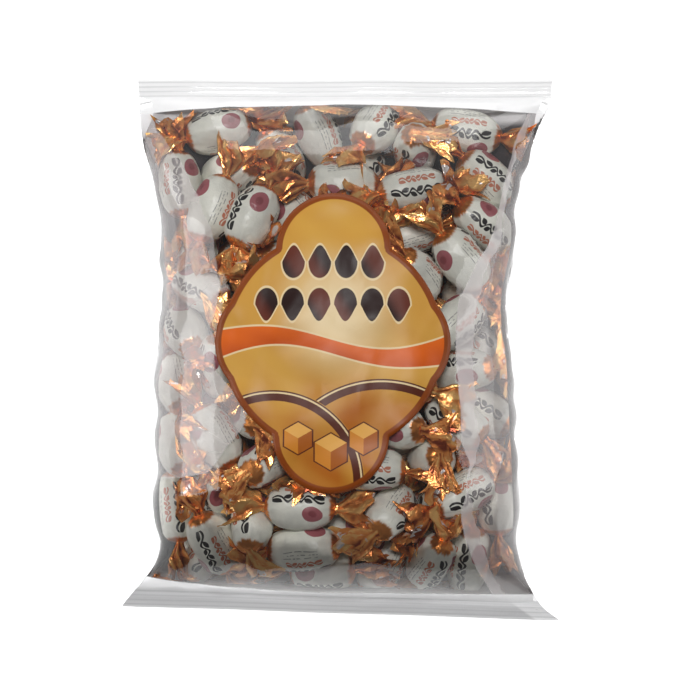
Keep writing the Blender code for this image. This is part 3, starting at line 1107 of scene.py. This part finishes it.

# %% Colour of the film's pale parts, with painted shade and painted reflection
BAND_WHITE = (0.95, 0.95, 0.96)
TOP_WHITE_PAINTED_SHADE = (0.84, 0.84, 0.845)
BAND_PAINTED_SHADE = (0.68, 0.68, 0.69)
CRIMP_PAINTED_SHADE = (0.40, 0.40, 0.41)
SLATE_PAINTED_SHADE = (0.036, 0.028, 0.033)
BACK_PALE = (0.84, 0.83, 0.84)
PAINTED_REFLECTION_TINT = (0.72, 0.66, 0.66)

# The top seal is painted a dimmer white than the bottom one: painted shade on the same sealed
# film.
colour = top_band.paint(BAND_WHITE, TOP_WHITE_PAINTED_SHADE)
# The veil, the fold and the film right of it get a pale tint: painted reflection.
colour = fold_reflection.larger(veil_reflection).larger(outer_reflection).paint(colour, PAINTED_REFLECTION_TINT)
# The bottom seal greys towards its free edge, painted shade of its droop, except in the corner at
# its right, which stays white.
past_corner = (x - 68.0) * 0.72 + (y + 105.0)
bright_corner = past_corner.fade(-1.0, 0.6) * x.fade(64.0, 67.0)
grey = below_window.fade(-107.5, -113.5) * (1 - bright_corner)
colour = grey.paint(colour, BAND_PAINTED_SHADE)
# The crimps get stripes of painted shade.
colour = (crimps.fade(0.3, 0.9) * 0.3).paint(colour, CRIMP_PAINTED_SHADE)
empty = abs(x).fade(76.0, 81.0) * abs(y).fade(70.0, 82.0)
empty = empty.larger(y.fade(96.0, 100.0)).larger(y.fade(-97.0, -101.0))
# The back half is painted dark slate, painted shade standing in for the shadow deep in the heap,
# and pale in the empty corners.
colour = (back * (1 - band)).paint(colour, empty.paint(SLATE_PAINTED_SHADE, BACK_PALE))
print("film nodes after its colour:", len(board.tree.nodes))

# %% How milky it is
CLEAR_HAZE = 0.004
TOP_HAZE = 0.036
OUTER_REFLECTION_HAZE = 0.20
VEIL_REFLECTION_HAZE = 0.31
FOLD_REFLECTION_HAZE = 0.40
MILKY_HAZE = 0.94

# How strongly the painted reflection shows in the veil, the fold and the film right of it.
haze = (fold_reflection * FOLD_REFLECTION_HAZE).larger(veil_reflection * VEIL_REFLECTION_HAZE).larger(outer_reflection * OUTER_REFLECTION_HAZE).larger(CLEAR_HAZE)
haze = haze.larger(y.fade(40.0, 95.0) * front * TOP_HAZE)
# The back half is opaque, so its painted shade hides the floor.
haze = haze.larger(band * MILKY_HAZE).larger(back)
print("haze from", CLEAR_HAZE, "where clear to", MILKY_HAZE, "at the seals")

# %% Which way the film faces
CRIMP_RELIEF = 0.35
TAUT_SHARE = 0.80
SWAY = 0.14

stretch = board.add("ShaderNodeMapping", sockets={"Vector": vector, "Scale": (0.11, 0.035, 0.11)})
crinkle = speckle(board, stretch, 1.0, detail=3.0, distortion=1.2)
ridges = 1 - abs(crinkle * 2.0 - 1.0) + crimps * CRIMP_RELIEF
bump = board.add(
    "ShaderNodeBump", sockets={"Height": ridges, "Strength": 0.22, "Distance": 0.0006}
)
slow = board.add("ShaderNodeMapping", sockets={"Vector": vector, "Scale": (0.020, 0.013, 0.020)})
wander = speckle(board, slow, 1.0, detail=1.5).other(1)
wander = board.add(
    "ShaderNodeVectorMath", {"operation": "SUBTRACT"}, {0: wander, 1: (0.5, 0.5, 0.5)}
)
taut = board.add(
    "ShaderNodeVectorMath",
    {"operation": "MULTIPLY_ADD"},
    {0: wander, 1: (SWAY, SWAY, SWAY), 2: taut},
)
taut = board.add(
    "ShaderNodeVectorTransform",
    {"vector_type": "NORMAL", "convert_from": "OBJECT", "convert_to": "WORLD"},
    {0: taut},
)
share = (1 - band * 0.8) * TAUT_SHARE
mixed = board.add(
    "ShaderNodeMix", {"data_type": "VECTOR"}, {0: share, 4: bump, 5: taut}, output=1
)
facing = board.add("ShaderNodeVectorMath", {"operation": "NORMALIZE"}, {0: mixed})
print("the mirror follows the smooth pillow by", TAUT_SHARE)

# %% Clear, milky and mirrored, laid together
FILM_IOR = 1.46
MIRROR_GAIN = 1.1
MOST_MIRROR = 0.85
CLEAR_TINT = (0.97, 0.965, 0.965, 1)

mirror = board.add("ShaderNodeFresnel", sockets={"IOR": FILM_IOR, "Normal": facing})
gloss = board.add(
    "ShaderNodeBsdfGlossy", sockets={"Color": (1, 1, 1, 1), "Roughness": 0.05, "Normal": facing}
)
clear = board.add("ShaderNodeBsdfTransparent", sockets={"Color": CLEAR_TINT})
milky = board.add(
    "ShaderNodeBsdfPrincipled",
    sockets={"Base Color": colour, "Roughness": 0.35, "Normal": bump},
)
seen = board.add("ShaderNodeMixShader", sockets={0: haze, 1: clear, 2: milky})
shine = (mirror * MIRROR_GAIN).smaller(MOST_MIRROR) * (1 - band * 0.6)
surface = board.add("ShaderNodeMixShader", sockets={0: shine, 1: seen, 2: gloss})
board.tree.links.new(surface.socket, out.inputs["Surface"])
print("film material:", len(board.tree.nodes), "nodes")

# %% [markdown]
# ## Paper finish
#
# The bodies are in waxed cream paper. The print is generic: a dusty red disc with a darker
# heart, a bold dark vine of leaves, a smaller salmon vine and fine grey rules, twice round the
# body. It follows the body's own UV map. A vine is a wavy stem with one broad leaf in each of its
# bends, and a leaf is the lens between two curves, turned by its lean. The copper colour of the
# foil begins at the body's pleated ends.

# %% Cream paper
PAPER = (0.87, 0.865, 0.77)
PAPER_SHADE = (0.77, 0.77, 0.69)

board, out = new_material("wrapper_paper", candy_bodies)
uv = board.add("ShaderNodeUVMap", {"uv_map": "wrap"})
split = board.add("ShaderNodeSeparateXYZ", sockets={0: uv})
u = split * (PRINT_UNIT / MM)
v = split.other(1) * (PRINT_UNIT / MM)
side = u.repeat(BODY_WIDE / MM * math.pi)
vector, x, y, z = object_axes(board)
tone = board.add("ShaderNodeAttribute", {"attribute_name": "tone"}, output=2)
blotch = speckle(board, vector, 0.16)
colour = blotch.fade(0.35, 0.7).paint(PAPER_SHADE, PAPER)
print("paper nodes so far:", len(board.tree.nodes))

# %% Leaves and vines
LEAF_EDGE = 0.10
LEAF_LEAN = 0.55


def leaves(along, across, pitch, size, lean):
    """A row of leaves along one axis, each turned by its lean."""
    place = along.repeat(pitch)
    down_leaf = place * math.cos(lean) + across * math.sin(lean)
    over_leaf = across * math.cos(lean) - place * math.sin(lean)
    lens = (1 - (down_leaf / (1.55 * size)) ** 2) * (0.95 * size)
    return (abs(over_leaf) - lens).fade(LEAF_EDGE, -LEAF_EDGE)


def vine(along, across, size):
    """A wavy stem with a broad leaf in each of its bends."""
    pitch = 5.6 * size
    along = along + (along * (0.47 / size)).wave() * (0.7 * size)
    bend = (along * (math.tau / pitch)).wave() * (1.25 * size)
    stem = abs(across - bend).fade(0.58 * size, 0.40 * size)
    above = leaves(along + pitch / 4, across - 0.85 * size, pitch, size, LEAF_LEAN)
    below = leaves(along - pitch / 4, across + 0.85 * size, pitch, size, -LEAF_LEAN)
    return stem.larger(above).larger(below)


# %% The print
DISC_RED = (0.36, 0.105, 0.120)
DISC_HEART = (0.20, 0.040, 0.050)
VINE_DARK = (0.014, 0.011, 0.011)
VINE_SALMON = (0.56, 0.20, 0.12)
RULE_GREY = (0.26, 0.25, 0.24)
RULES_SIDE = -10.4
RULE_PITCH = 1.4

from_disc = ((side - 8.4) ** 2 + (v - 6.0) ** 2).root()
colour = from_disc.fade(4.5, 4.2).paint(colour, DISC_RED)
from_heart = ((side - 8.0) ** 2 + (v - 6.3) ** 2).root()
colour = (from_heart.fade(2.2, 1.2) * 0.75).paint(colour, DISC_HEART)

dark = vine(v, side - 0.3, 1.26) * abs(v).fade(10.9, 10.6)
colour = dark.paint(colour, VINE_DARK)
salmon = vine(v - 1.0, side + 5.6, 0.88) * abs(v - 1.0).fade(7.6, 7.4)
colour = salmon.paint(colour, VINE_SALMON)
from_rules = side - RULES_SIDE
rule = abs(from_rules.repeat(RULE_PITCH)).fade(0.26, 0.16)
print_place = board.add("ShaderNodeCombineXYZ", sockets={0: v * 0.9, 1: u * 0.7})
dashes = speckle(board, print_place, 1.0, detail=0.0)
in_rules = abs(from_rules).fade(2.4, 2.3) * abs(v).fade(7.4, 7.2) * dashes.fade(0.40, 0.46)
colour = (rule * in_rules * 0.8).paint(colour, RULE_GREY)
print("paper nodes with the print:", len(board.tree.nodes))

# %% Copper ends and the paper's finish
COPPER = (0.72, 0.26, 0.065)

own_place = board.add("ShaderNodeCombineXYZ", sockets={0: u, 1: tone * 50})
streak = speckle(board, own_place, 0.85)
copper = (abs(v) + streak * 1.8).fade(13.1, 14.3)
colour = copper.paint(colour, COPPER)
folds = speckle(board, vector, 0.32, detail=3.0, distortion=0.8)
paper_bump = board.add(
    "ShaderNodeBump", sockets={"Height": folds, "Strength": 0.45, "Distance": 0.0008}
)
paper = board.add(
    "ShaderNodeBsdfPrincipled",
    sockets={
        "Base Color": colour,
        "Roughness": 0.33 - copper * 0.05,
        "Metallic": copper * 0.8,
        "Normal": paper_bump,
    },
)
board.tree.links.new(paper.socket, out.inputs["Surface"])
print("paper material:", len(board.tree.nodes), "nodes")

# %% [markdown]
# ## Foil finish
#
# The twists are metallised film: a coloured mirror with sharp folds. Gold on the ridges is painted
# highlight, and dark red-brown in the valleys is painted shade, where light would bounce many
# times off a coloured metal. The pleats were saved as an attribute, so the colour follows them.

# %% Copper foil
FOIL_VALLEY_PAINTED_SHADE = (0.23, 0.038, 0.009)
FOIL_MIDDLE = (0.86, 0.30, 0.075)
FOIL_RIDGE_PAINTED_HIGHLIGHT = (0.98, 0.57, 0.20)
FOIL_SILVER = (0.80, 0.76, 0.74)

board, out = new_material("wrapper_foil", candy_twists)
vector, x, y, z = object_axes(board)
crease = board.add("ShaderNodeAttribute", {"attribute_name": "crease"}, output=2)
tone = board.add("ShaderNodeAttribute", {"attribute_name": "tone"}, output=2)
inner = board.add("ShaderNodeAttribute", {"attribute_name": "inner"}, output=2)
patch = speckle(board, vector, 0.22, detail=1.0)
# Painted shade in the pleats' valleys and painted highlight on their ridges, varied by random
# patches and tone.
pleat_shade_level = crease * 0.55 + patch * 0.9 - 0.25 + (tone - 0.5) * 0.35
stops = ((0.15, FOIL_VALLEY_PAINTED_SHADE), (0.45, FOIL_MIDDLE), (0.80, FOIL_RIDGE_PAINTED_HIGHLIGHT))
colour = board.add("ShaderNodeValToRGB", {"stops": stops}, {"Fac": pleat_shade_level})
bare = inner * speckle(board, vector, 0.20, detail=0.5).fade(0.59, 0.63)
colour = bare.paint(colour, FOIL_SILVER)
crinkles = speckle(board, vector, 0.55, detail=2.0, distortion=0.6)
foil_bump = board.add(
    "ShaderNodeBump", sockets={"Height": crinkles, "Strength": 0.30, "Distance": 0.0008}
)
foil = board.add(
    "ShaderNodeBsdfPrincipled",
    sockets={
        "Base Color": colour,
        "Metallic": 0.62,
        "Roughness": speckle(board, vector, 0.2) * 0.16 + 0.14,
        "Normal": foil_bump,
    },
)
board.tree.links.new(foil.socket, out.inputs["Surface"])
print("foil material:", len(board.tree.nodes), "nodes")

# %% [markdown]
# ## Label print
#
# The print is fields of colour and simple shapes, worked out from the place on the label: a
# brown border, a gold field with satin folds and a cream glow, two friezes of dark caramel drops,
# an orange sash with cream piping, two hills with a chocolate rim and three toffee cubes.

# %% Helpers for the label's print
BORDER_BROWN = (0.20, 0.042, 0.004)
FIELD_GOLD = (0.535, 0.290, 0.050)
FIELD_DEEP = (0.35, 0.100, 0.005)
GLOW_CREAM = (0.66, 0.51, 0.29)
CHOCOLATE = (0.075, 0.014, 0.005)

board, out = new_material("label_print", label)
vector, x, y, z = object_axes(board)
x = x - LABEL_CENTRE[0] / MM
y = y - LABEL_CENTRE[1] / MM
edge = board.add("ShaderNodeAttribute", {"attribute_name": "edge_mm"}, output=2)


def disc(across, up, radius):
    """Distance outwards from a circle's edge, negative inside."""
    return ((x - across) ** 2 + (y - up) ** 2).root() - radius


def line(distance, middle, half, soft=0.15):
    """A line of even width along one distance of a field."""
    return abs(distance - middle).fade(half + soft, half - soft)


def inlaid(under, shape, fill):
    """A form filled with one colour inside a cream outline; shape is 1 at the form's edge."""
    under = shape.fade(1.17, 1.13).paint(under, GLOW_CREAM)
    return shape.fade(1.03, 0.98).paint(under, fill)


# %% Gold field with satin folds
satin = (x * 0.105 + (y * 0.07).wave() * 1.4 + y * 0.045).wave() * 0.5 + 0.5
fine = (x * 0.30 + (y * 0.11).wave() * 3.2 + y * 0.16).wave() * 0.5 + 0.5
low = y.fade(-10.0, -30.0)
folds = satin * 0.6 + fine * 0.4
colour = (folds * (low * 0.75 + 0.25) + (1 - low) * 0.75).paint(FIELD_DEEP, FIELD_GOLD)
colour = disc(2, 12, 30).fade(4.0, -26.0).paint(colour, GLOW_CREAM)
print("label nodes with the gold field:", len(board.tree.nodes))

# %% Hills with a chocolate rim
HILLS = ((21.0, -62.0, 47.0), (-24.0, -58.0, 38.0))

for across, up, radius in HILLS:
    hill = disc(across, up, radius)
    slope = (folds * 0.55 + (hill * 0.09 + 1.0).larger(0.0) * 0.6).paint(FIELD_DEEP, FIELD_GOLD)
    colour = hill.fade(0.15, -0.15).paint(colour, slope)
    colour = line(hill, -2.4, 2.2).paint(colour, CHOCOLATE)
    colour = line(hill, -1.2, 0.35).paint(colour, GLOW_CREAM)
print("hills:", len(HILLS))

# %% Caramel drops
DROP_BROWN = (0.016, 0.004, 0.003)
DROP_WARM = (0.10, 0.018, 0.008)
DROP_PITCH = 11.0
DROP_SIZE = 1.35
UPPER_DROPS = (4, 33.5, 1)
LOWER_DROPS = (6, 15.5, -1)

warm = ((x * 0.19 + y * 0.12).wave() * 0.5 + 0.5).fade(0.35, 1.0).paint(DROP_BROWN, DROP_WARM)
for count, up, way in (UPPER_DROPS, LOWER_DROPS):
    for place in range(count):
        across = (place - (count - 1) / 2) * DROP_PITCH
        rise = (y - up) / (5.1 * DROP_SIZE)
        slim = ((rise * way).larger(0.0) * 0.75 + 1) * (x - across) / (3.5 * DROP_SIZE)
        colour = inlaid(colour, (slim**2 + rise**2).root(), warm)
print("drops:", UPPER_DROPS[0] + LOWER_DROPS[0])

# %% Orange sash
SASH_ORANGE = (0.60, 0.105, 0.003)
SASH_DEEP = (0.42, 0.060, 0.003)

sash = y + 2.0 + (x * 0.062).wave() * 4.5
past_sash = abs(sash) - (x / 48.0) ** 2 * 3.0 - 3.2
sash_colour = (sash * 0.12 + folds * 0.5).fade(-0.7, 0.9).paint(SASH_DEEP, SASH_ORANGE)
colour = past_sash.fade(0.12, -0.12).paint(colour, sash_colour)
colour = line(past_sash, 0.0, 0.40).paint(colour, GLOW_CREAM)
print("label nodes with the sash:", len(board.tree.nodes))

# %% Toffee cubes
CUBE_TOP = (0.66, 0.34, 0.075)
CUBE_LEFT = (0.52, 0.19, 0.020)
CUBE_RIGHT = (0.32, 0.085, 0.008)
CUBES = ((-13.5, -40.0, 6.6), (13.5, -40.0, 6.6), (0.0, -45.5, 7.6))

for across, up, size in CUBES:
    lean = abs(x - across) * math.tan(math.pi / 6)
    height = y - up
    half_wide = size * math.cos(math.pi / 6)
    hexagon = (size - lean - abs(height)).smaller(half_wide - abs(x - across))
    cube = (x - across).fade(-0.12, 0.12).paint(CUBE_LEFT, CUBE_RIGHT)
    cube = (height - lean).fade(-0.12, 0.12).paint(cube, CUBE_TOP)
    colour = hexagon.fade(-0.75, -0.45).paint(colour, CHOCOLATE)
    colour = hexagon.fade(-0.12, 0.12).paint(colour, cube)
print("cubes:", len(CUBES))

# %% Border and the label's finish
colour = edge.fade(2.9, 2.5).paint(colour, BORDER_BROWN)
label_bump = board.add(
    "ShaderNodeBump",
    sockets={"Height": speckle(board, vector, 0.09), "Strength": 0.25, "Distance": 0.0010},
)
printed = board.add(
    "ShaderNodeBsdfPrincipled",
    sockets={
        "Base Color": colour,
        "Roughness": speckle(board, vector, 0.2) * 0.08 + 0.36,
        "Specular IOR Level": 0.25,
        "Normal": label_bump,
    },
)
board.tree.links.new(printed.socket, out.inputs["Surface"])
print("label material:", len(board.tree.nodes), "nodes")

# %% [markdown]
# ## Floor and light
#
# A plain pale floor, and soft light from four panels. Beyond the bag the floor also glows: painted
# light that hides the bag's shadow on it. The key panel hangs high above and is the main light,
# while the ceiling round it stays dim: film that faces the camera mirrors it, and a bright one
# would veil the candies. The left and right panels stand low and mirror in the bag's two slopes. A
# weak one beyond the top seal brightens the crimps there.

# %% Floor
FLOOR_PAINTED_GLOW = 0.75
bpy.ops.mesh.primitive_plane_add(size=8, location=(0, 0, -0.0003))
floor = bpy.context.active_object
floor.name = "floor"
board, out = new_material("pale_floor", floor)
vector, x, y, z = object_axes(board)
mottle = speckle(board, vector, 0.004)
colour = mottle.paint((0.90, 0.90, 0.90), (0.93, 0.93, 0.93))
# The floor glows, except under and close round the bag: painted light that hides the bag's shadow.
beside = (abs(x) - 62.0).larger(0.0)
beyond = (abs(y) - 95.0).larger(0.0)
glow = (beside**2 + beyond**2).root().fade(1.0, 11.0)
pale = board.add(
    "ShaderNodeBsdfPrincipled",
    sockets={
        "Base Color": colour,
        "Roughness": 0.8,
        "Specular IOR Level": 0.1,
        "Emission Color": glow.paint((0.0, 0.0, 0.0), (1.0, 1.0, 1.0)),
        "Emission Strength": FLOOR_PAINTED_GLOW,
    },
)
board.tree.links.new(pale.socket, out.inputs["Surface"])
print("floor material:", len(board.tree.nodes), "nodes")


# %% Lights
def panel(name, place, size, power, aim=(0, 0, 0.02)):
    """A soft rectangular light at a place, facing a point."""
    bpy.ops.object.light_add(type="AREA", location=place)
    light = bpy.context.active_object
    light.name = name
    light.data.shape = "RECTANGLE"
    light.data.size, light.data.size_y = size
    light.data.energy = power
    light.rotation_euler = (Vector(place) - Vector(aim)).to_track_quat("Z", "Y").to_euler()
    return light


panel("key_panel", (0.05, 0.34, 1.53), (0.34, 0.34), 11.2)
panel("left_panel", (-1.05, 0.05, 0.62), (0.80, 0.80), 8.0)
panel("right_panel", (1.25, 0.15, 0.45), (0.50, 1.2), 6.0)
panel("head_panel", (0.15, 1.35, 0.45), (1.3, 0.5), 6.0)

WORLD_STRENGTH = 0.11
world = bpy.data.worlds.new("studio")
bpy.context.scene.world = world
world.use_nodes = True
backdrop = world.node_tree.nodes["Background"]
backdrop.inputs["Color"].default_value = (1.0, 0.99, 0.98, 1)
backdrop.inputs["Strength"].default_value = WORLD_STRENGTH
bpy.context.scene.view_settings.view_transform = "Standard"
